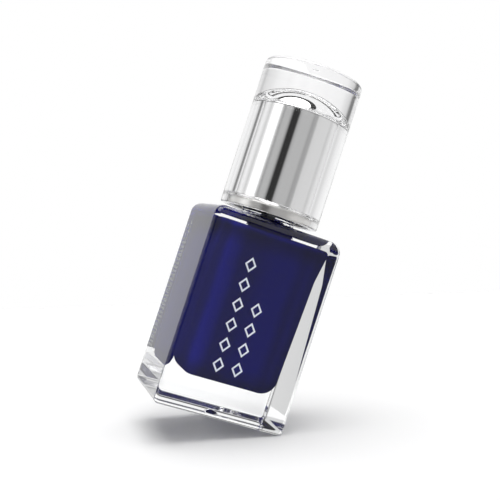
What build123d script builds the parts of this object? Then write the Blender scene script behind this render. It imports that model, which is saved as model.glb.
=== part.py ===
"""Nail polish bottle: thick glass bottle, lacquer, and a screw cap that carries the brush."""

from build123d import *
from math import cos, radians, sin
import os

# Millimetres. The bottle stands on z = 0 and its front faces -Y.

# Glass body
BODY_WIDTH = 29.6
BODY_DEPTH = 23.6
SHOULDER_Z = 43.6
BODY_CORNER_R = 1.0
SHOULDER_EDGE_R = 2.4
BASE_EDGE_R = 1.2
DIMPLE_R = 1.6
DIMPLE_DEPTH = 0.7

# Inside of the glass: thick base, walls that thin towards the shoulder, faster above the flare
FLOOR_Z = 7.2
FLARE_Z = 34.0
ROOF_Z = SHOULDER_Z - 2.5
WALL_AT_FLOOR = 3.55
WALL_AT_FLARE = 2.55
WALL_AT_ROOF = 1.55
CAVITY_CORNER_R = 3.8
CAVITY_FLOOR_R = 3.6
CAVITY_FLARE_R = 8.0
CAVITY_ROOF_R = 0.8

# Neck, a 13 mm screw finish
NECK_BORE_R = 4.0
NECK_ROOT_R = 5.75
NECK_FOOT_R = 6.0
NECK_FOOT_FILLET_R = 1.2
NECK_TOP_Z = SHOULDER_Z + 11.7
NECK_LIP_R = 0.4
BEAD_R = 6.5
BEAD_Z = SHOULDER_Z + 2.1
BEAD_HALF_HEIGHT = 0.75

# Screw thread, shared by the neck and the closure
PITCH = 2.117
NECK_THREAD_Z = SHOULDER_Z + 5.4
NECK_THREAD_TURNS = 2.0
NECK_CREST_R = 6.45
CAP_THREAD_TURNS = 1.5
CAP_THREAD_CREST_R = 6.05
CAP_THREAD_ROOT_R = 6.85
THREAD_BASE_WIDTH = 1.2
THREAD_CREST_WIDTH = 0.45
THREAD_PLAY = 0.1
THREAD_SUNK = 0.3
RUN_OUT = 30.0
RUN_OUT_BACK = 8.0
RUN_OUT_SPARE = 0.05
RUN_OUT_CLEAR = 1.5

# Clear outer cap
CAP_R = 11.35
CAP_BOTTOM_Z = SHOULDER_Z + 1.3
CAP_HEIGHT = 33.8
CAP_TOP_EDGE_R = 0.9
CAP_RIM_EDGE_R = 0.35
CAP_BORE_R = 8.8
GATE_MARK_R = 0.65
GATE_MARK_DEPTH = 0.25

# Chrome sleeve with a domed crown, and the collar ring it stands on
AIR_GAP = 0.2
SLEEVE_THICKNESS = 0.4
SLEEVE_WALL_TOP = 24.0
SLEEVE_RISE = 4.4
SLEEVE_SHOULDER_R = 1.4
COLLAR_R = 9.7
COLLAR_TOP = 2.5
COLLAR_FLARE = 1.0
COLLAR_BOTTOM = 0.15
COLLAR_GAP = 0.15

# Screw closure inside the sleeve
CLOSURE_R = 8.15
CLOSURE_BOTTOM = 0.3
CLOSURE_TOP = 22.4
CLOSURE_WEB = 1.6
CLOSURE_CUP_R = 6.9
CLOSURE_BOSS_R = 3.8
CLOSURE_BOSS_HEIGHT = 2.4

# Sealing washer between the glass mouth and the stem's flange
WASHER_THICKNESS = 0.8
WASHER_R = 6.25
WASHER_HOLE_R = 3.65

# Brush stem
FLANGE_R = 5.7
FLANGE_THICKNESS = 1.0
PLUG_R = 3.4
PLUG_LENGTH = 1.6
PLUG_TAPER = 2.6
STEM_R = 1.75
STEM_TIP_R = 1.5
STEM_TIP_Z = 27.0
PEG_R = 2.2
PEG_LENGTH = 4.6
PEG_BARB_R = 2.5
SOCKET_R = 1.0
SOCKET_DEPTH = 5.0

# Anchor plate and bristles
ANCHOR_WIDTH = 2.4
ANCHOR_THICKNESS = 0.3
ANCHOR_HEIGHT = 1.5
TUFT_TIP_Z = 10.2
TUFT_R = 1.7
TUFT_TIP_ROUND = 1.0

# Lacquer and mixing balls
FILL_Z = ROOF_Z + 1.4
CHANNEL_R = 2.3
CHANNEL_GAP = 0.5
BALL_R = 2.0
BALL_GAP = 0.04
BALL_PLACES = [(6.0, 2.6), (-5.2, -2.9)]

# Worked-out heights
CAP_TOP_Z = CAP_BOTTOM_Z + CAP_HEIGHT
FLANGE_Z = NECK_TOP_Z + WASHER_THICKNESS
WEB_Z = FLANGE_Z + FLANGE_THICKNESS
SLEEVE_R = CAP_BORE_R - AIR_GAP
COLLAR_TOP_Z = CAP_BOTTOM_Z + COLLAR_TOP
SOCKET_TOP_Z = STEM_TIP_Z + SOCKET_DEPTH

os.makedirs("parts", exist_ok=True)


def save(piece, name):
    """Labels a finished piece and writes it as its own STEP file."""
    piece.part.label = name
    export_step(piece.part, f"parts/{name}.step")


def polar_point(radius, angle):
    """The point at radius and angle, in degrees, in a horizontal sketch."""
    return (radius * cos(radians(angle)), radius * sin(radians(angle)))


def thread_ridge(root_r, crest_r, start_z, turns):
    """A helical ridge from root_r to crest_r, sunk a little into its wall, fading at both ends."""
    outward = 1 if crest_r > root_r else -1
    flank_slope = (THREAD_BASE_WIDTH - THREAD_CREST_WIDTH) / 2 / abs(crest_r - root_r)
    half_foot = THREAD_BASE_WIDTH / 2 + flank_slope * THREAD_SUNK
    half_crest = THREAD_CREST_WIDTH / 2
    foot_r = root_r - outward * THREAD_SUNK
    end_z = start_z + PITCH * turns
    with BuildPart() as ridge:
        with BuildLine() as path:
            Helix(PITCH, end_z - start_z, crest_r, center=(0, 0, start_z))
        with BuildSketch(Plane.XZ):
            with BuildLine():
                Polyline(
                    (foot_r, start_z - half_foot),
                    (crest_r, start_z - half_crest),
                    (crest_r, start_z + half_crest),
                    (foot_r, start_z + half_foot),
                    close=True,
                )
            make_face()
        sweep(path=path.line, is_frenet=True)
        for z, angle, inwards in ((start_z, 0, 1), (end_z, 360 * turns, -1)):
            with BuildSketch(Plane.XY.offset(z - PITCH / 2)):
                with BuildLine():
                    Polyline(
                        polar_point(root_r - outward * RUN_OUT_SPARE, angle - inwards * RUN_OUT_BACK),
                        polar_point(root_r - outward * RUN_OUT_SPARE, angle),
                        polar_point(crest_r + outward * RUN_OUT_SPARE, angle + inwards * RUN_OUT),
                        polar_point(crest_r + outward * RUN_OUT_CLEAR, angle + inwards * RUN_OUT),
                        polar_point(crest_r + outward * RUN_OUT_CLEAR, angle - inwards * RUN_OUT_BACK),
                        close=True,
                    )
                make_face()
            extrude(amount=PITCH, mode=Mode.SUBTRACT)
    return ridge.part


def domed_plug(radius, bottom_z, wall_top_z, rise, shoulder_r):
    """A round plug with a shallow domed top whose edge is rounded by shoulder_r."""
    with BuildPart() as plug:
        with BuildSketch(Plane.XZ):
            with BuildLine():
                dome = TangentArc((0, wall_top_z + rise), (radius, wall_top_z), tangent=(1, 0))
                Polyline(dome @ 1, (radius, bottom_z), (0, bottom_z), dome @ 0)
            make_face()
        revolve(axis=Axis.Z)
        rims = plug.edges().filter_by(lambda edge: edge.is_closed)
        fillet(rims.sort_by(Axis.Z)[-1], shoulder_r)
    return plug.part


# The hollow of the bottle, used for the glass and for the lacquer
with BuildPart() as hollow:
    for z, wall, corner_r in (
        (FLOOR_Z, WALL_AT_FLOOR, CAVITY_CORNER_R),
        (FLARE_Z, WALL_AT_FLARE, CAVITY_CORNER_R),
        (ROOF_Z, WALL_AT_ROOF, CAVITY_CORNER_R),
    ):
        with BuildSketch(Plane.XY.offset(z)):
            RectangleRounded(BODY_WIDTH - 2 * wall, BODY_DEPTH - 2 * wall, corner_r)
    loft(ruled=True)
    flare_edges = hollow.edges().filter_by(lambda edge: abs(edge.center().Z - FLARE_Z) < 0.01)
    fillet(flare_edges, CAVITY_FLARE_R)
    fillet(hollow.faces().sort_by(Axis.Z)[0].edges(), CAVITY_FLOOR_R)
    fillet(hollow.faces().sort_by(Axis.Z)[-1].edges(), CAVITY_ROOF_R)
    with BuildSketch(Plane.XZ):
        with BuildLine():
            mouth_r = NECK_BORE_R + SHOULDER_Z - ROOF_Z
            throat = TangentArc((NECK_BORE_R, SHOULDER_Z), (mouth_r, ROOF_Z), tangent=(0, -1))
            Polyline(
                throat @ 1,
                (mouth_r, ROOF_Z - 1),
                (0, ROOF_Z - 1),
                (0, NECK_TOP_Z),
                (NECK_BORE_R, NECK_TOP_Z),
                throat @ 0,
            )
        make_face()
    revolve(axis=Axis.Z)

# Glass bottle
neck_thread = thread_ridge(NECK_ROOT_R, NECK_CREST_R, NECK_THREAD_Z, NECK_THREAD_TURNS)
with BuildPart() as glass_bottle:
    with BuildSketch():
        RectangleRounded(BODY_WIDTH, BODY_DEPTH, BODY_CORNER_R)
    extrude(amount=SHOULDER_Z)
    fillet(glass_bottle.faces().sort_by(Axis.Z)[-1].edges(), SHOULDER_EDGE_R)
    fillet(glass_bottle.faces().sort_by(Axis.Z)[0].edges(), BASE_EDGE_R)
    with BuildSketch(Plane.XZ):
        with BuildLine():
            foot_edge_r = NECK_FOOT_R + NECK_FOOT_FILLET_R
            foot_top_z = SHOULDER_Z + NECK_FOOT_FILLET_R
            foot = TangentArc((NECK_FOOT_R, foot_top_z), (foot_edge_r, SHOULDER_Z), tangent=(0, -1))
            bead = ThreePointArc(
                (NECK_FOOT_R, BEAD_Z - BEAD_HALF_HEIGHT),
                (BEAD_R, BEAD_Z),
                (NECK_ROOT_R, BEAD_Z + BEAD_HALF_HEIGHT),
            )
            Line(foot @ 0, bead @ 0)
            Polyline(
                bead @ 1,
                (NECK_ROOT_R, NECK_TOP_Z),
                (0, NECK_TOP_Z),
                (0, SHOULDER_Z - 1),
                (foot_edge_r, SHOULDER_Z - 1),
                foot @ 1,
            )
        make_face()
    revolve(axis=Axis.Z)
    add(hollow.part, mode=Mode.SUBTRACT)
    fillet(glass_bottle.faces().sort_by(Axis.Z)[-1].edges(), NECK_LIP_R)
    add(neck_thread)
    dimple_ball_r = (DIMPLE_R**2 + DIMPLE_DEPTH**2) / (2 * DIMPLE_DEPTH)
    with Locations((0, 0, DIMPLE_DEPTH - dimple_ball_r)):
        Sphere(dimple_ball_r, mode=Mode.SUBTRACT)
save(glass_bottle, "glass_bottle")

# Lacquer, with room for the brush and the mixing balls
with BuildPart() as lacquer:
    add(hollow.part)
    split(bisect_by=Plane.XY.offset(FILL_Z), keep=Keep.BOTTOM)
    channel_bottom_z = TUFT_TIP_Z - CHANNEL_GAP
    with Locations((0, 0, channel_bottom_z)):
        Cylinder(
            CHANNEL_R,
            FILL_Z - channel_bottom_z,
            align=(Align.CENTER, Align.CENTER, Align.MIN),
            mode=Mode.SUBTRACT,
        )
    for x, y in BALL_PLACES:
        with Locations((x, y, FLOOR_Z)):
            Cylinder(
                BALL_R + BALL_GAP,
                BALL_R + BALL_GAP,
                align=(Align.CENTER, Align.CENTER, Align.MIN),
                mode=Mode.SUBTRACT,
            )
        with Locations((x, y, FLOOR_Z + BALL_R + BALL_GAP)):
            Sphere(BALL_R + BALL_GAP, mode=Mode.SUBTRACT)
save(lacquer, "lacquer")

# Mixing balls, resting on the floor of the hollow
for number, (x, y) in enumerate(BALL_PLACES, start=1):
    with BuildPart() as mixing_ball:
        with Locations((x, y, FLOOR_Z + BALL_R + BALL_GAP / 2)):
            Sphere(BALL_R)
    save(mixing_ball, f"mixing_ball_{number}")

# Clear outer cap
cap_bore = domed_plug(
    CAP_BORE_R,
    CAP_BOTTOM_Z,
    CAP_BOTTOM_Z + SLEEVE_WALL_TOP,
    SLEEVE_RISE + AIR_GAP,
    SLEEVE_SHOULDER_R + AIR_GAP,
)
with BuildPart() as overcap:
    with BuildSketch(Plane.XY.offset(CAP_BOTTOM_Z)):
        Circle(CAP_R)
    extrude(amount=CAP_HEIGHT)
    fillet(overcap.edges().sort_by(Axis.Z)[-1], CAP_TOP_EDGE_R)
    fillet(overcap.edges().sort_by(Axis.Z)[0], CAP_RIM_EDGE_R)
    add(cap_bore, mode=Mode.SUBTRACT)
    with BuildSketch(Plane.XZ):
        with BuildLine():
            seat_r = COLLAR_R + COLLAR_GAP
            seat_top_z = COLLAR_TOP_Z + COLLAR_GAP
            seat = TangentArc(
                (seat_r, seat_top_z - (seat_r - CAP_BORE_R)), (CAP_BORE_R, seat_top_z), tangent=(0, 1)
            )
            Polyline(
                seat @ 1, (0, seat_top_z), (0, CAP_BOTTOM_Z), (seat_r, CAP_BOTTOM_Z), seat @ 0
            )
        make_face()
    revolve(axis=Axis.Z, mode=Mode.SUBTRACT)
    gate_ball_r = (GATE_MARK_R**2 + GATE_MARK_DEPTH**2) / (2 * GATE_MARK_DEPTH)
    with Locations((0, 0, CAP_TOP_Z - GATE_MARK_DEPTH + gate_ball_r)):
        Sphere(gate_ball_r, mode=Mode.SUBTRACT)
save(overcap, "overcap")

# Chrome sleeve
sleeve_outside = domed_plug(
    SLEEVE_R, COLLAR_TOP_Z, CAP_BOTTOM_Z + SLEEVE_WALL_TOP, SLEEVE_RISE, SLEEVE_SHOULDER_R
)
sleeve_inside = domed_plug(
    SLEEVE_R - SLEEVE_THICKNESS,
    COLLAR_TOP_Z,
    CAP_BOTTOM_Z + SLEEVE_WALL_TOP,
    SLEEVE_RISE - SLEEVE_THICKNESS,
    SLEEVE_SHOULDER_R - SLEEVE_THICKNESS,
)
with BuildPart() as chrome_sleeve:
    add(sleeve_outside)
    add(sleeve_inside, mode=Mode.SUBTRACT)
save(chrome_sleeve, "chrome_sleeve")

# Collar ring
with BuildPart() as collar_ring:
    with BuildSketch(Plane.XZ):
        with BuildLine():
            inner_r = SLEEVE_R - SLEEVE_THICKNESS
            collar_bottom_z = CAP_BOTTOM_Z + COLLAR_BOTTOM
            flare = TangentArc(
                (COLLAR_R, COLLAR_TOP_Z - COLLAR_FLARE),
                (COLLAR_R - COLLAR_FLARE, COLLAR_TOP_Z),
                tangent=(0, 1),
            )
            Polyline(
                flare @ 1,
                (inner_r, COLLAR_TOP_Z),
                (inner_r, collar_bottom_z),
                (COLLAR_R, collar_bottom_z),
                flare @ 0,
            )
        make_face()
    revolve(axis=Axis.Z)
    rim = collar_ring.edges().filter_by(GeomType.CIRCLE).group_by(Axis.Z)[0]
    fillet(rim.sort_by(SortBy.RADIUS)[-1], CAP_RIM_EDGE_R)
save(collar_ring, "collar_ring")

# Screw closure; its ridge lies THREAD_PLAY under the neck's, so the two pull together
neck_flank_slope = (THREAD_BASE_WIDTH - THREAD_CREST_WIDTH) / 2 / (NECK_CREST_R - NECK_ROOT_R)
neck_half_width = THREAD_BASE_WIDTH / 2 - neck_flank_slope * (CAP_THREAD_CREST_R - NECK_ROOT_R)
closure_thread = thread_ridge(
    CAP_THREAD_ROOT_R,
    CAP_THREAD_CREST_R,
    NECK_THREAD_Z - neck_half_width - THREAD_CREST_WIDTH / 2 - THREAD_PLAY,
    CAP_THREAD_TURNS,
)
with BuildPart() as inner_cap:
    closure_bottom_z = CAP_BOTTOM_Z + CLOSURE_BOTTOM
    closure_top_z = CAP_BOTTOM_Z + CLOSURE_TOP
    with BuildSketch(Plane.XY.offset(closure_bottom_z)):
        Circle(CLOSURE_R)
    extrude(amount=closure_top_z - closure_bottom_z)
    with BuildSketch(Plane.XY.offset(closure_bottom_z)):
        Circle(CAP_THREAD_ROOT_R)
    extrude(amount=WEB_Z - closure_bottom_z, mode=Mode.SUBTRACT)
    with BuildSketch(Plane.XY.offset(WEB_Z + CLOSURE_WEB)):
        Circle(CLOSURE_CUP_R)
    extrude(amount=closure_top_z - WEB_Z - CLOSURE_WEB, mode=Mode.SUBTRACT)
    with BuildSketch(Plane.XY.offset(WEB_Z + CLOSURE_WEB)):
        Circle(CLOSURE_BOSS_R)
    extrude(amount=CLOSURE_BOSS_HEIGHT)
    with BuildSketch(Plane.XY.offset(WEB_Z)):
        Circle(PEG_R)
    extrude(amount=CLOSURE_WEB + CLOSURE_BOSS_HEIGHT, mode=Mode.SUBTRACT)
    add(closure_thread)
save(inner_cap, "inner_cap")

# Sealing washer
with BuildPart() as sealing_washer:
    with BuildSketch(Plane.XY.offset(NECK_TOP_Z)):
        Circle(WASHER_R)
        Circle(WASHER_HOLE_R, mode=Mode.SUBTRACT)
    extrude(amount=WASHER_THICKNESS)
save(sealing_washer, "sealing_washer")

# Anchor plate, driven across the top of the bristle socket
with BuildPart() as tuft_anchor:
    with BuildSketch(Plane.XY.offset(SOCKET_TOP_Z - ANCHOR_HEIGHT)):
        Rectangle(ANCHOR_WIDTH, ANCHOR_THICKNESS)
    extrude(amount=ANCHOR_HEIGHT)
save(tuft_anchor, "tuft_anchor")

# Brush stem
with BuildPart() as brush_stem:
    plug_bottom_z = FLANGE_Z - PLUG_LENGTH
    peg_top_z = WEB_Z + PEG_LENGTH
    boss_top_z = WEB_Z + CLOSURE_WEB + CLOSURE_BOSS_HEIGHT
    with BuildSketch(Plane.XZ):
        with BuildLine():
            Polyline(
                (0, STEM_TIP_Z),
                (STEM_TIP_R, STEM_TIP_Z),
                (STEM_R, plug_bottom_z - PLUG_TAPER),
                (PLUG_R, plug_bottom_z),
                (PLUG_R, FLANGE_Z),
                (FLANGE_R, FLANGE_Z),
                (FLANGE_R, WEB_Z),
                (PEG_R, WEB_Z),
                (PEG_R, boss_top_z),
                (PEG_BARB_R, boss_top_z),
                (PEG_BARB_R - PEG_BARB_R / 3, peg_top_z),
                (0, peg_top_z),
                close=True,
            )
        make_face()
    revolve(axis=Axis.Z)
    with BuildSketch(Plane.XY.offset(STEM_TIP_Z)):
        Circle(SOCKET_R)
    extrude(amount=SOCKET_DEPTH, mode=Mode.SUBTRACT)
    add(tuft_anchor.part, mode=Mode.SUBTRACT)
save(brush_stem, "brush_stem")

# Bristles: round in the socket, spreading to a rounded tip
with BuildPart() as bristle_tuft:
    with BuildSketch(Plane.XZ):
        with BuildLine():
            Polyline(
                (TUFT_R - TUFT_TIP_ROUND, TUFT_TIP_Z),
                (0, TUFT_TIP_Z),
                (0, SOCKET_TOP_Z),
                (SOCKET_R, SOCKET_TOP_Z),
                (SOCKET_R, STEM_TIP_Z),
                (TUFT_R, TUFT_TIP_Z + 3 * TUFT_TIP_ROUND),
            )
            ThreePointArc(
                (TUFT_R, TUFT_TIP_Z + 3 * TUFT_TIP_ROUND),
                (TUFT_R - 0.2 * TUFT_TIP_ROUND, TUFT_TIP_Z + TUFT_TIP_ROUND),
                (TUFT_R - TUFT_TIP_ROUND, TUFT_TIP_Z),
            )
        make_face()
    revolve(axis=Axis.Z)
    add(tuft_anchor.part, mode=Mode.SUBTRACT)
save(bristle_tuft, "bristle_tuft")

cavity_ml = hollow.part.volume / 1000
fill_ml = lacquer.part.volume / 1000
print(f"brimful {cavity_ml:.2f} ml, lacquer {fill_ml:.2f} ml")
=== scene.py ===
"""Looks of the nail polish bottle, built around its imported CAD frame.

Everything is in metres in the frame's axes: the bottle stands on z = 0, its printed front faces -Y and its
screw axis is +Z. The camera leans against the bottle's axis, and the floor leans with it, so that the bottle
is seen tipped over onto the right-hand edge of its base.
"""

from math import atan2, cos, degrees, hypot, pi, radians, sin, sqrt

import bmesh
import bpy
from mathutils import Matrix, Vector


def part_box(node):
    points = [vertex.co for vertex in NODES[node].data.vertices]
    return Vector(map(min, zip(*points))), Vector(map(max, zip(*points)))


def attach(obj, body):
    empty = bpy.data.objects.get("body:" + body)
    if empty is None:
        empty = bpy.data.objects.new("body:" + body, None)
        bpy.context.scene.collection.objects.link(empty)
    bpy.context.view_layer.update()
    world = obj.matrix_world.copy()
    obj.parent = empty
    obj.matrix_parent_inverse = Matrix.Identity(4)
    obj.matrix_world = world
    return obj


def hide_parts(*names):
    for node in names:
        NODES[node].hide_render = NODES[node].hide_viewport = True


MM = 0.001
LIGHT_BOUNCES = 40      # light is trapped for a long way in the thick clear walls

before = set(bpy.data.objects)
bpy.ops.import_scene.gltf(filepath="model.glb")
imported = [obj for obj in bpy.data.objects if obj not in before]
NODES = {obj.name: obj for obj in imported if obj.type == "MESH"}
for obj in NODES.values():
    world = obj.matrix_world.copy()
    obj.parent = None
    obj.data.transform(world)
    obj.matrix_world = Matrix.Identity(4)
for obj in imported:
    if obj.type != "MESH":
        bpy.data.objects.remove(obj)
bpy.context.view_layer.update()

GLASS_LOW, GLASS_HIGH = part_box("glass_bottle")
CAP_LOW, CAP_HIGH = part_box("overcap")


# ---------------------------------------------------------------- small helpers


def new_object(name, mesh):
    """Links a mesh as an object at the origin."""
    made = bpy.data.objects.new(name, mesh)
    bpy.context.scene.collection.objects.link(made)
    return made


def shade_smooth(thing, angle=35.0):
    """Smooth shading with sharp edges above the angle, in degrees."""
    mesh = thing.data
    mesh.shade_smooth()
    mesh.set_sharp_from_angle(angle=radians(angle))


def wear(thing, material):
    """Gives a piece one material in its only slot."""
    thing.data.materials.clear()
    thing.data.materials.append(material)


# ---------------------------------------------------------------- camera

VIEW_TURN = 0.297       # how far the view direction turns from +Y towards +X, radians
VIEW_RISE = 0.021       # how far it rises above level, radians
CAMERA_ROLL = 0.315     # lean of the picture against the bottle's axis, radians
CAMERA_TURN = 0.305     # where the camera stands, turned from -Y towards -X, radians
CAMERA_DISTANCE = 193.19 * MM
CAMERA_HEIGHT = 32.43 * MM
LENS_MM = 61.9

look = Vector((sin(VIEW_TURN) * cos(VIEW_RISE), cos(VIEW_TURN) * cos(VIEW_RISE), sin(VIEW_RISE)))
level_right = Vector((cos(VIEW_TURN), -sin(VIEW_TURN), 0.0))
level_up = level_right.cross(look)
camera_right = cos(CAMERA_ROLL) * level_right + sin(CAMERA_ROLL) * level_up
camera_up = cos(CAMERA_ROLL) * level_up - sin(CAMERA_ROLL) * level_right
to_camera = Vector((-sin(CAMERA_TURN), -cos(CAMERA_TURN), 0.0))
beside_camera = Vector((cos(CAMERA_TURN), -sin(CAMERA_TURN), 0.0))


def make_camera():
    camera = bpy.data.objects.new("camera", bpy.data.cameras.new("camera"))
    bpy.context.scene.collection.objects.link(camera)
    camera.data.sensor_width = 36.0
    camera.data.lens = LENS_MM
    camera.data.clip_start = 0.005
    camera.data.clip_end = 10.0
    turn = Matrix((camera_right, camera_up, -look)).transposed().to_4x4()
    place = to_camera * CAMERA_DISTANCE + Vector((0, 0, CAMERA_HEIGHT))
    camera.matrix_world = Matrix.Translation(place) @ turn
    bpy.context.scene.camera = camera


# ---------------------------------------------------------------- studio

FLOOR_LEAN = radians(18.8)
floor_normal = Vector((-sin(FLOOR_LEAN), 0, cos(FLOOR_LEAN)))

# Brightness of the studio round the bottle's axis: degrees from the camera's side, to the right positive.
STUDIO = [
    (-180, 1.0), (-164, 0.97), (-150, 0.92), (-137, 0.65), (-132, 0.14), (-126, 0.14),
    (-121, 0.85), (-108, 1.0), (-92, 0.62), (-86, 0.9), (-80, 1.35), (-59, 1.35),
    (-54, 0.62), (-49, 0.34), (-42, 0.5), (-31, 0.5), (-26, 0.38), (-21, 0.035), (-6, 0.04),
    (-1, 0.42), (6, 0.5), (31, 0.5), (37, 0.37), (46, 0.4), (52, 0.7), (88, 0.72),
    (95, 0.6), (110, 0.85), (119, 0.8), (128, 0.66), (148, 0.85), (170, 1.0),
]
STUDIO_TOP = 1.35
UP = Vector((0, 0, 1))
# What lies above it, each inside the one before: middle, half width and softness in degrees, brightness.
STUDIO_CIRCLES = [
    (UP, 73.0, 2.0, 0.03),              # dark rail under the ceiling
    (UP, 60.0, 2.0, 0.95),              # ceiling
    (floor_normal, 38.0, 0.5, 0.03),    # black frame of the soft light
    (floor_normal, 28.0, 0.5, 4.0),     # soft light straight above the floor
]


def make_studio():
    """A surrounding of soft panels and flags; the background itself is plain white."""
    world = bpy.data.worlds.new("studio")
    bpy.context.scene.world = world
    world.use_nodes = True
    nodes, links = world.node_tree.nodes, world.node_tree.links
    nodes.clear()
    coordinates = nodes.new("ShaderNodeTexCoord")

    def dot(direction):
        node = nodes.new("ShaderNodeVectorMath")
        node.operation = "DOT_PRODUCT"
        links.new(coordinates.outputs["Generated"], node.inputs[0])
        node.inputs[1].default_value = direction
        return node.outputs["Value"]

    turn = nodes.new("ShaderNodeMath")
    turn.operation = "ARCTAN2"
    links.new(dot(beside_camera), turn.inputs[0])
    links.new(dot(to_camera), turn.inputs[1])
    place = nodes.new("ShaderNodeMapRange")
    place.inputs["From Min"].default_value = -pi
    place.inputs["From Max"].default_value = pi
    links.new(turn.outputs[0], place.inputs["Value"])
    round_about = nodes.new("ShaderNodeValToRGB")
    stops = round_about.color_ramp.elements
    while len(stops) > 1:
        stops.remove(stops[-1])
    for number, (azimuth, value) in enumerate(STUDIO):
        stop = stops[0] if number == 0 else stops.new((azimuth + 180) / 360)
        stop.position = (azimuth + 180) / 360
        stop.color = (*[value / STUDIO_TOP] * 3, 1)
    links.new(place.outputs[0], round_about.inputs["Fac"])
    lit = round_about.outputs["Color"]
    for middle, edge, softness, brightness in STUDIO_CIRCLES:
        above = nodes.new("ShaderNodeMapRange")
        above.interpolation_type = "SMOOTHSTEP"
        above.inputs["From Min"].default_value = cos(radians(edge + softness))
        above.inputs["From Max"].default_value = cos(radians(edge - softness))
        links.new(dot(middle), above.inputs["Value"])
        mix = nodes.new("ShaderNodeMix")
        mix.data_type = "RGBA"
        links.new(above.outputs[0], mix.inputs["Factor"])
        links.new(lit, mix.inputs["A"])
        mix.inputs["B"].default_value = (*[brightness / STUDIO_TOP] * 3, 1)
        lit = mix.outputs["Result"]
    panels = nodes.new("ShaderNodeBackground")
    panels.inputs["Strength"].default_value = STUDIO_TOP
    links.new(lit, panels.inputs["Color"])
    plain = nodes.new("ShaderNodeBackground")
    plain.inputs["Color"].default_value = (1, 1, 1, 1)
    paths = nodes.new("ShaderNodeLightPath")
    choose = nodes.new("ShaderNodeMixShader")
    links.new(paths.outputs["Is Camera Ray"], choose.inputs["Fac"])
    links.new(panels.outputs[0], choose.inputs[1])
    links.new(plain.outputs[0], choose.inputs[2])
    output = nodes.new("ShaderNodeOutputWorld")
    links.new(choose.outputs[0], output.inputs["Surface"])


BASE_EDGE_R = 1.2 * MM
FLOOR_SIZE = 0.4
FLOOR_COLOUR = 0.84


def make_floor():
    """A pale floor that touches the right-hand base edge of the bottle; unseen from below."""
    edge = Vector((GLASS_HIGH.x - BASE_EDGE_R, 0, GLASS_LOW.z + BASE_EDGE_R))
    middle = edge - floor_normal * BASE_EDGE_R
    across = Vector((cos(FLOOR_LEAN), 0, sin(FLOOR_LEAN))) * FLOOR_SIZE / 2
    along = Vector((0, 1, 0)) * FLOOR_SIZE / 2
    corners = [(-1, -1), (1, -1), (1, 1), (-1, 1)]
    mesh = bpy.data.meshes.new("floor")
    mesh.from_pydata([middle + a * across + b * along for a, b in corners], [], [(0, 1, 2, 3)])
    floor = new_object("floor", mesh)
    material = bpy.data.materials.new("floor_paint")
    material.use_nodes = True
    nodes, links = material.node_tree.nodes, material.node_tree.links
    nodes.clear()
    paint = nodes.new("ShaderNodeBsdfDiffuse")
    paint.inputs["Color"].default_value = (FLOOR_COLOUR, FLOOR_COLOUR, FLOOR_COLOUR, 1)
    clear = nodes.new("ShaderNodeBsdfTransparent")
    side = nodes.new("ShaderNodeNewGeometry")
    choose = nodes.new("ShaderNodeMixShader")
    output = nodes.new("ShaderNodeOutputMaterial")
    links.new(side.outputs["Backfacing"], choose.inputs["Fac"])
    links.new(paint.outputs[0], choose.inputs[1])
    links.new(clear.outputs[0], choose.inputs[2])
    links.new(choose.outputs[0], output.inputs["Surface"])
    wear(floor, material)
    floor.visible_glossy = False


# ---------------------------------------------------------------- materials


def principled(name, **values):
    """A new material with one Principled shader; returns the material, its nodes, links and shader."""
    material = bpy.data.materials.new(name)
    material.use_nodes = True
    nodes, links = material.node_tree.nodes, material.node_tree.links
    shader = nodes["Principled BSDF"]
    for socket, value in values.items():
        socket = socket.replace("_", " ")
        if isinstance(value, tuple):
            value = (*value, 1.0)
        shader.inputs[socket].default_value = value
    return material, nodes, links, shader


def object_noise(nodes, links, scale, detail=2.0, stretch=(1, 1, 1)):
    """Noise in the object's own metres; scale counts features in a metre."""
    coordinates = nodes.new("ShaderNodeTexCoord")
    mapping = nodes.new("ShaderNodeMapping")
    mapping.inputs["Scale"].default_value = stretch
    noise = nodes.new("ShaderNodeTexNoise")
    noise.inputs["Scale"].default_value = scale
    noise.inputs["Detail"].default_value = detail
    links.new(coordinates.outputs["Object"], mapping.inputs["Vector"])
    links.new(mapping.outputs[0], noise.inputs["Vector"])
    return noise.outputs["Fac"]


def bump(nodes, links, shader, height, depth, strength=1.0):
    """Bump of a given depth in metres from a height output."""
    node = nodes.new("ShaderNodeBump")
    node.inputs["Distance"].default_value = depth
    node.inputs["Strength"].default_value = strength
    links.new(height, node.inputs["Height"])
    links.new(node.outputs[0], shader.inputs["Normal"])


def vary(nodes, links, factor, low, high, socket):
    """Drives a socket between two values or colours by a factor."""
    if isinstance(low, tuple):
        mix = nodes.new("ShaderNodeMix")
        mix.data_type = "RGBA"
        mix.inputs["A"].default_value = (*low, 1)
        mix.inputs["B"].default_value = (*high, 1)
        links.new(factor, mix.inputs["Factor"])
        links.new(mix.outputs["Result"], socket)
    else:
        spread = nodes.new("ShaderNodeMapRange")
        spread.inputs["To Min"].default_value = low
        spread.inputs["To Max"].default_value = high
        links.new(factor, spread.inputs["Value"])
        links.new(spread.outputs[0], socket)


def glass_material():
    """Thick moulded glass: clear, with a faint waviness from the mould."""
    made, nodes, links, shader = principled(
        "clear_glass", Base_Color=(0.985, 0.99, 0.992), Transmission_Weight=1.0, IOR=1.52
    )
    vary(nodes, links, object_noise(nodes, links, 160), 0.0, 0.012, shader.inputs["Roughness"])
    bump(nodes, links, shader, object_noise(nodes, links, 70, 0.0), 0.02 * MM, 0.25)
    return made


def acrylic_material():
    """Clear acrylic, smoother and more even than the glass."""
    made, nodes, links, shader = principled(
        "clear_acrylic", Base_Color=(0.985, 0.985, 0.99), Transmission_Weight=1.0, IOR=1.49
    )
    vary(nodes, links, object_noise(nodes, links, 220), 0.0, 0.01, shader.inputs["Roughness"])
    return made


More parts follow.
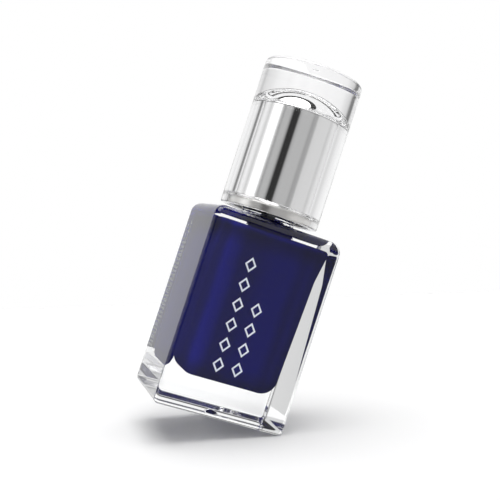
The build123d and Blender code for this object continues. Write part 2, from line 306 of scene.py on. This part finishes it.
def ramp(nodes, links, value, low, high, stops):
    """A brightness that runs through the stops (value, brightness) between low and high."""
    spread = nodes.new("ShaderNodeMapRange")
    spread.inputs["From Min"].default_value = low
    spread.inputs["From Max"].default_value = high
    links.new(value, spread.inputs["Value"])
    made = nodes.new("ShaderNodeValToRGB")
    elements = made.color_ramp.elements
    elements.remove(elements[-1])
    for number, (place, brightness) in enumerate(stops):
        position = (place - low) / (high - low)
        element = elements[0] if number == 0 else elements.new(position)
        element.position = position
        element.color = (brightness, brightness, brightness, 1)
    links.new(spread.outputs[0], made.inputs["Fac"])
    return made.outputs["Color"]


def lacquer_material():
    """Dense blue lacquer, wetting the glass: streaky pigment along the height, with painted shade at its side
    edges, around the front print, towards the bottom and just below the top of the fill, and a painted
    highlight band along the top of the fill.
    """
    made, nodes, links, shader = principled("blue_lacquer", Roughness=0.35, IOR=1.5)
    shader.inputs["Specular IOR Level"].default_value = 0.0
    coordinates = nodes.new("ShaderNodeTexCoord")
    split = nodes.new("ShaderNodeSeparateXYZ")
    links.new(coordinates.outputs["Object"], split.inputs[0])
    sway = nodes.new("ShaderNodeMapRange")
    sway.inputs["To Min"].default_value = -1.2 * MM
    sway.inputs["To Max"].default_value = 1.2 * MM
    links.new(object_noise(nodes, links, 70, 2.0, (1, 1, 0.6)), sway.inputs["Value"])
    swayed = nodes.new("ShaderNodeMath")
    links.new(split.outputs["X"], swayed.inputs[0])
    links.new(sway.outputs[0], swayed.inputs[1])
    # Across the width: streaky pigment, plus painted shade darkening both side edges and the zone around the
    # front print.
    pigment_streaks_and_painted_shade = ramp(nodes, links, swayed.outputs[0], -14 * MM, 14 * MM, [
        (-14 * MM, 0.1), (-12.9 * MM, 0.15), (-12.1 * MM, 0.55), (-11.4 * MM, 0.36), (-10.6 * MM, 0.45),
        (-9.4 * MM, 1.0), (-8.2 * MM, 0.85), (-6.2 * MM, 0.42), (-3 * MM, 0.42), (1 * MM, 0.64),
        (5.4 * MM, 0.64), (7.6 * MM, 0.36), (8.8 * MM, 0.42), (10.4 * MM, 0.25), (14 * MM, 0.15),
    ])
    # Along the height, all painted light: painted shade towards the bottom and in a band just below the top
    # of the fill, and a painted highlight band along the top of the fill.
    depth = ramp(nodes, links, split.outputs["Z"], 6 * MM, 42 * MM, [
        (6 * MM, 0.3), (8.4 * MM, 0.45), (11.5 * MM, 1.0), (36.2 * MM, 1.0), (38.2 * MM, 0.6),
        (39.2 * MM, 0.42), (39.9 * MM, 0.42), (40.6 * MM, 1.0), (41.4 * MM, 0.8),
    ])
    # The lacquer's blue is the streaky pigment times this painted shade and highlight.
    pigment_and_painted_light = nodes.new("ShaderNodeMath")
    pigment_and_painted_light.operation = "MULTIPLY"
    links.new(pigment_streaks_and_painted_shade, pigment_and_painted_light.inputs[0])
    links.new(depth, pigment_and_painted_light.inputs[1])
    colour = shader.inputs["Base Color"]
    vary(nodes, links, pigment_and_painted_light.outputs[0], (0.006, 0.006, 0.035), (0.011, 0.012, 0.30), colour)
    return made


def ink_material():
    """Pale silver printing ink."""
    made, nodes, links, shader = principled("silver_ink", Base_Color=(0.82, 0.86, 1.0), Metallic=0.1)
    vary(nodes, links, object_noise(nodes, links, 6000), 0.35, 0.5, shader.inputs["Roughness"])
    return made


def frost_material():
    """Pale frosting on the glass."""
    made, nodes, links, shader = principled("pale_frost", Base_Color=(0.45, 0.465, 0.435))
    vary(nodes, links, object_noise(nodes, links, 5000), 0.5, 0.7, shader.inputs["Roughness"])
    return made


def bristle_material():
    """Nylon fibres wet with lacquer."""
    made, nodes, links, shader = principled("wet_bristle", IOR=1.5)
    stain = object_noise(nodes, links, 700, 3.0)
    vary(nodes, links, stain, (0.006, 0.006, 0.05), (0.012, 0.012, 0.14), shader.inputs["Base Color"])
    vary(nodes, links, object_noise(nodes, links, 2000), 0.08, 0.22, shader.inputs["Roughness"])
    return made


def chrome_material():
    """Mirror-bright plating."""
    made, nodes, links, shader = principled(
        "bright_chrome", Base_Color=(0.93, 0.93, 0.925), Metallic=1.0
    )
    vary(nodes, links, object_noise(nodes, links, 400), 0.015, 0.035, shader.inputs["Roughness"])
    return made


def satin_material():
    """Satin silver with fine rings from turning."""
    made, nodes, links, shader = principled(
        "satin_silver", Base_Color=(0.80, 0.79, 0.765), Metallic=1.0
    )
    rings = object_noise(nodes, links, 9000, 2.0, (0.02, 0.02, 1))
    vary(nodes, links, rings, 0.26, 0.38, shader.inputs["Roughness"])
    bump(nodes, links, shader, rings, 0.002 * MM)
    return made


def black_plastic_material():
    """Black moulded closure and stem."""
    made, nodes, links, shader = principled("black_plastic", Base_Color=(0.012, 0.012, 0.014))
    vary(nodes, links, object_noise(nodes, links, 2500), 0.28, 0.42, shader.inputs["Roughness"])
    bump(nodes, links, shader, object_noise(nodes, links, 5000), 0.004 * MM)
    return made


def washer_material():
    """Soft off-white foam."""
    made, nodes, links, shader = principled("washer_foam", Base_Color=(0.82, 0.82, 0.79), Roughness=0.75)
    bump(nodes, links, shader, object_noise(nodes, links, 7000, 4.0), 0.03 * MM)
    return made


def steel_material():
    """Polished steel, a little dulled by the lacquer."""
    made, nodes, links, shader = principled("steel_ball", Base_Color=(0.62, 0.62, 0.63), Metallic=1.0)
    vary(nodes, links, object_noise(nodes, links, 1500), 0.08, 0.2, shader.inputs["Roughness"])
    return made


def brass_material():
    """Stamped brass."""
    made, nodes, links, shader = principled("anchor_brass", Base_Color=(0.72, 0.52, 0.24), Metallic=1.0)
    vary(nodes, links, object_noise(nodes, links, 3000), 0.2, 0.4, shader.inputs["Roughness"])
    return made


def dress_cad_nodes():
    """Gives each carried-over CAD node its material; their shading normals come with the frame."""
    black = black_plastic_material()
    steel = steel_material()
    looks = {
        "glass_bottle": glass_material(),
        "inner_cap": black,
        "brush_stem": black,
        "sealing_washer": washer_material(),
        "mixing_ball_1": steel,
        "mixing_ball_2": steel,
        "tuft_anchor": brass_material(),
    }
    for name, material in looks.items():
        wear(NODES[name], material)


# ---------------------------------------------------------------- turned cap pieces

TURNED_SEGMENTS = 288
ARC_STEPS = 20
BORE_R = 8.8 * MM               # bore of the clear cap, and the sleeve and collar inside it, as in the CAD
DOME_WALL_TOP = 24.0 * MM       # top of the straight wall above the rim, to the dome's foot
DOME_RISE = 4.4 * MM
DOME_SHOULDER_R = 1.4 * MM
AIR_GAP = 0.2 * MM
SLEEVE_WALL = 0.4 * MM
COLLAR_R = 9.7 * MM
COLLAR_TOP = 2.5 * MM
COLLAR_FLARE = 1.0 * MM
COLLAR_BOTTOM = 0.15 * MM
COLLAR_GAP = 0.15 * MM
CAP_TOP_EDGE_R = 0.9 * MM
CAP_RIM_EDGE_R = 0.35 * MM
GATE_MARK_R = 0.65 * MM
GATE_MARK_DEPTH = 0.25 * MM


def arc(middle_r, middle_z, radius, start, end, steps=ARC_STEPS):
    """Points (r, z) along an arc, from the start angle to the end angle, in degrees."""
    turns = [radians(start + (end - start) * step / steps) for step in range(steps + 1)]
    return [(middle_r + radius * cos(turn), middle_z + radius * sin(turn)) for turn in turns]


def dome(radius, wall_top, rise, shoulder_r):
    """Points (r, z) from the top of the axis down to the wall, with the rounded shoulder."""
    ball_r = (radius**2 + rise**2) / (2 * rise)
    ball_z = wall_top + rise - ball_r
    shoulder_z = ball_z + sqrt((ball_r - shoulder_r) ** 2 - (radius - shoulder_r) ** 2)
    lean = degrees(atan2(shoulder_z - ball_z, radius - shoulder_r))
    return [
        *arc(0, ball_z, ball_r, 90, lean, 4 * ARC_STEPS),
        *arc(radius - shoulder_r, shoulder_z, shoulder_r, lean, 0)[1:],
    ]


def turned(name, profile, material, closed):
    """A piece turned about the screw axis, riding on the cap in place of its CAD node."""
    work = bmesh.new()
    rings = []
    for r, z in profile:
        if r < 1e-7:
            rings.append([work.verts.new((0, 0, z))])
            continue
        turns = (2 * pi * segment / TURNED_SEGMENTS for segment in range(TURNED_SEGMENTS))
        rings.append([work.verts.new((r * cos(turn), r * sin(turn), z)) for turn in turns])
    pairs = list(zip(rings, rings[1:]))
    if closed:
        pairs.append((rings[-1], rings[0]))
    for above, below in pairs:
        for i in range(TURNED_SEGMENTS):
            j = (i + 1) % TURNED_SEGMENTS
            if len(above) == 1:
                work.faces.new((above[0], below[i], below[j]))
            elif len(below) == 1:
                work.faces.new((above[j], above[i], below[0]))
            else:
                work.faces.new((above[j], above[i], below[i], below[j]))
    bmesh.ops.recalc_face_normals(work, faces=work.faces)
    mesh = bpy.data.meshes.new(name + "_turned")
    work.to_mesh(mesh)
    work.free()
    piece = new_object(name + "_turned", mesh)
    shade_smooth(piece)
    wear(piece, material)
    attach(piece, "cap")
    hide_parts(name)


def make_cap_pieces():
    """The clear shell, chrome sleeve and collar, turned finely enough to be seen through clear acrylic."""
    rim, top, cap_r = CAP_LOW.z, CAP_HIGH.z, CAP_HIGH.x
    gate_r = (GATE_MARK_R**2 + GATE_MARK_DEPTH**2) / (2 * GATE_MARK_DEPTH)
    gate_z = top - GATE_MARK_DEPTH + gate_r
    gate_lean = degrees(atan2(top - gate_z, GATE_MARK_R))
    seat_r = COLLAR_R + COLLAR_GAP
    seat_top = rim + COLLAR_TOP + COLLAR_GAP
    bore = dome(BORE_R, rim + DOME_WALL_TOP, DOME_RISE + AIR_GAP, DOME_SHOULDER_R + AIR_GAP)
    turned("overcap", [
        *arc(0, gate_z, gate_r, -90, gate_lean),
        *arc(cap_r - CAP_TOP_EDGE_R, top - CAP_TOP_EDGE_R, CAP_TOP_EDGE_R, 90, 0),
        *arc(cap_r - CAP_RIM_EDGE_R, rim + CAP_RIM_EDGE_R, CAP_RIM_EDGE_R, 0, -90),
        (seat_r, rim),
        *arc(BORE_R, seat_top - seat_r + BORE_R, seat_r - BORE_R, 0, 90),
        *bore[::-1],
    ], acrylic_material(), False)
    sleeve_r = BORE_R - AIR_GAP
    inner_r = sleeve_r - SLEEVE_WALL
    foot = rim + COLLAR_TOP
    outside = dome(sleeve_r, rim + DOME_WALL_TOP, DOME_RISE, DOME_SHOULDER_R)
    inside = dome(inner_r, rim + DOME_WALL_TOP, DOME_RISE - SLEEVE_WALL, DOME_SHOULDER_R - SLEEVE_WALL)
    turned("chrome_sleeve", [
        *outside, (sleeve_r, foot), (inner_r, foot), *inside[::-1],
    ], chrome_material(), False)
    collar_bottom = rim + COLLAR_BOTTOM
    turned("collar_ring", [
        *arc(COLLAR_R - COLLAR_FLARE, foot - COLLAR_FLARE, COLLAR_FLARE, 90, 0),
        *arc(COLLAR_R - CAP_RIM_EDGE_R, collar_bottom + CAP_RIM_EDGE_R, CAP_RIM_EDGE_R, 0, -90),
        (inner_r, collar_bottom), (inner_r, foot),
    ], satin_material(), True)


# ---------------------------------------------------------------- lacquer

CHANNEL_R = 2.3 * MM        # the CAD lacquer's round way for the brush
WETTING = 0.03 * MM         # how far the lacquer reaches into the glass, so that no gap shows
CHANNEL_SLACK = 0.02 * MM   # how far outside the brush's way a point may lie and still belong to it
BALL_SLACK = 0.1 * MM       # the same for the balls' hollows


def make_lacquer():
    """The liquid as one closed body that wets the glass: the CAD fill without its brush channel."""
    mesh = NODES["lacquer"].data.copy()
    mesh.name = "lacquer_fill"
    work = bmesh.new()
    work.from_mesh(mesh)
    bmesh.ops.remove_doubles(work, verts=work.verts, dist=1e-6)
    floor_z = min(v.co.z for v in work.verts)
    balls = [(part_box(name)[0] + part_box(name)[1]) / 2 for name in ("mixing_ball_1", "mixing_ball_2")]
    ball_r = (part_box("mixing_ball_1")[1].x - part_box("mixing_ball_1")[0].x) / 2 + BALL_SLACK

    def in_channel(v):
        return v.co.xy.length < CHANNEL_R + CHANNEL_SLACK

    def in_ball(v):
        return any((v.co - c).xy.length < ball_r and v.co.z < c.z + ball_r for c in balls)

    gone = [f for f in work.faces if all(in_channel(v) or in_ball(v) for v in f.verts)]
    bmesh.ops.delete(work, geom=gone, context="FACES")
    bmesh.ops.holes_fill(work, edges=[e for e in work.edges if e.is_boundary], sides=0)
    bmesh.ops.triangulate(work, faces=[f for f in work.faces if len(f.verts) > 4])
    bmesh.ops.recalc_face_normals(work, faces=work.faces)
    work.normal_update()
    for v in work.verts:
        v.co += v.normal * WETTING
    work.to_mesh(mesh)
    work.free()
    fill = new_object("lacquer_fill", mesh)
    fill.matrix_world = Matrix.Identity(4)
    wear(fill, lacquer_material())
    shade_smooth(fill, 50)
    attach(fill, "bottle")
    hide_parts("lacquer")


# ---------------------------------------------------------------- front print

MARK_HALF_WIDTH = 1.3 * MM
MARK_HALF_HEIGHT = 1.65 * MM
MARK_STROKE = 0.36 * MM
MARK_PITCH = 4.4 * MM
MARK_COLUMNS = [(-4.05 * MM, 6), (0.25 * MM, 4)]
MARK_START = 11.3 * MM
INK_PROUD = 0.02 * MM
INK_SUNK = 0.01 * MM


def make_print():
    """Two columns of plain lozenges printed up the front face."""
    front = GLASS_LOW.y
    work = bmesh.new()
    shrink = 1 - MARK_STROKE * hypot(1 / MARK_HALF_WIDTH, 1 / MARK_HALF_HEIGHT)
    for x, count in MARK_COLUMNS:
        for number in range(count):
            z = MARK_START + number * MARK_PITCH
            rings = []
            for y in (front - INK_PROUD, front + INK_SUNK):
                for scale in (1.0, shrink):
                    corners = [(1, 0), (0, 1), (-1, 0), (0, -1)]
                    rings.append([
                        work.verts.new((x + scale * a * MARK_HALF_WIDTH, y, z + scale * b * MARK_HALF_HEIGHT))
                        for a, b in corners
                    ])
            outer, inner, outer_back, inner_back = rings
            for i in range(4):
                j = (i + 1) % 4
                work.faces.new((outer[i], outer[j], inner[j], inner[i]))
                work.faces.new((outer_back[j], outer_back[i], inner_back[i], inner_back[j]))
                work.faces.new((outer[j], outer[i], outer_back[i], outer_back[j]))
                work.faces.new((inner[i], inner[j], inner_back[j], inner_back[i]))
    bmesh.ops.recalc_face_normals(work, faces=work.faces)
    mesh = bpy.data.meshes.new("front_print")
    work.to_mesh(mesh)
    work.free()
    marks = new_object("front_print", mesh)
    wear(marks, ink_material())
    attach(marks, "bottle")


# ---------------------------------------------------------------- frosted marks on the left face

FROST_ROWS = [(6.6 * MM, 31), (7.8 * MM, 27), (9.0 * MM, 30), (10.2 * MM, 21)]      # Y, number of bars
FROST_HEIGHT = 0.6 * MM
FROST_PITCH = 0.98 * MM
FROST_START = 9.0 * MM
FROST_LENGTH = 0.58             # mean length of a bar, millimetres
FROST_UNEVENNESS = 0.2          # how much longer or shorter a bar may be, millimetres


def make_frosting():
    """Rows of tiny frosted bars of uneven length up the back edge of the left face."""
    work = bmesh.new()
    thick = INK_PROUD + INK_SUNK
    x = GLASS_LOW.x - INK_PROUD + thick / 2
    for row, (y, count) in enumerate(FROST_ROWS):
        for number in range(count):
            length = (FROST_LENGTH + FROST_UNEVENNESS * sin(2.3 * number + 1.7 * row)) * MM
            place = Matrix.Translation((x, y, FROST_START + number * FROST_PITCH))
            bar = Matrix.Diagonal((thick, FROST_HEIGHT, length, 1))
            bmesh.ops.create_cube(work, size=1, matrix=place @ bar)
    mesh = bpy.data.meshes.new("side_frosting")
    work.to_mesh(mesh)
    work.free()
    marks = new_object("side_frosting", mesh)
    wear(marks, frost_material())
    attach(marks, "bottle")


# ---------------------------------------------------------------- bristles

FIBRES = 210
FIBRE_R = 0.05 * MM
FIBRE_SIDES = 6
FIBRE_RINGS = 9
SOCKET_R = 0.92 * MM
SOCKET_Z = 27.0 * MM
TUFT_TIP_ROUND = 1.6 * MM       # how much higher the outermost fibres end
TUFT_INSET = 0.15 * MM          # how far the fibres' middles stay inside the CAD tuft
TIP_UNEVENNESS = 0.25 * MM
FIBRE_BOW = 0.12 * MM


def make_bristles():
    """Single fibres, round in the socket and spreading to a rounded tip."""
    low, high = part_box("bristle_tuft")
    tuft_r = (high.x - low.x) / 2 - TUFT_INSET
    golden = pi * (3 - sqrt(5))
    work = bmesh.new()
    for number in range(FIBRES):
        share = sqrt((number + 0.5) / FIBRES)
        angle = golden * number
        tip_z = low.z + TUFT_TIP_ROUND * share**2 + TIP_UNEVENNESS * (1 + sin(7.3 * number))
        bow = FIBRE_BOW * sin(3.7 * number)
        rings = []
        for ring in range(FIBRE_RINGS):
            along = ring / (FIBRE_RINGS - 1)
            z = high.z - 0.2 * MM + along * (tip_z - high.z + 0.2 * MM)
            out = max(0.0, (SOCKET_Z - z) / (SOCKET_Z - low.z))
            spread = SOCKET_R + (tuft_r - SOCKET_R) * min(1.0, out * 1.35)
            middle = Vector((
                share * spread * cos(angle) + bow * out * (1 - out) * 4 * sin(angle),
                share * spread * sin(angle) - bow * out * (1 - out) * 4 * cos(angle),
                z,
            ))
            thick = FIBRE_R * (1 - 0.45 * max(0.0, along - 0.8) / 0.2)
            rings.append([
                work.verts.new(middle + thick * Vector((cos(turn), sin(turn), 0)))
                for turn in (2 * pi * side / FIBRE_SIDES for side in range(FIBRE_SIDES))
            ])
        for upper, lower in zip(rings, rings[1:]):
            for i in range(FIBRE_SIDES):
                j = (i + 1) % FIBRE_SIDES
                work.faces.new((upper[j], upper[i], lower[i], lower[j]))
        work.faces.new(rings[0])
        work.faces.new(rings[-1][::-1])
    bmesh.ops.recalc_face_normals(work, faces=work.faces)
    mesh = bpy.data.meshes.new("bristles")
    work.to_mesh(mesh)
    work.free()
    bristles = new_object("bristles", mesh)
    shade_smooth(bristles, 80)
    wear(bristles, bristle_material())
    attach(bristles, "cap")
    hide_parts("bristle_tuft")


# ---------------------------------------------------------------- put together

bpy.context.scene.view_settings.view_transform = "Standard"
for kind in ("max_bounces", "transmission_bounces", "glossy_bounces"):
    setattr(bpy.context.scene.cycles, kind, LIGHT_BOUNCES)
make_camera()
make_studio()
make_floor()
dress_cad_nodes()
make_cap_pieces()
make_lacquer()
make_print()
make_frosting()
make_bristles()
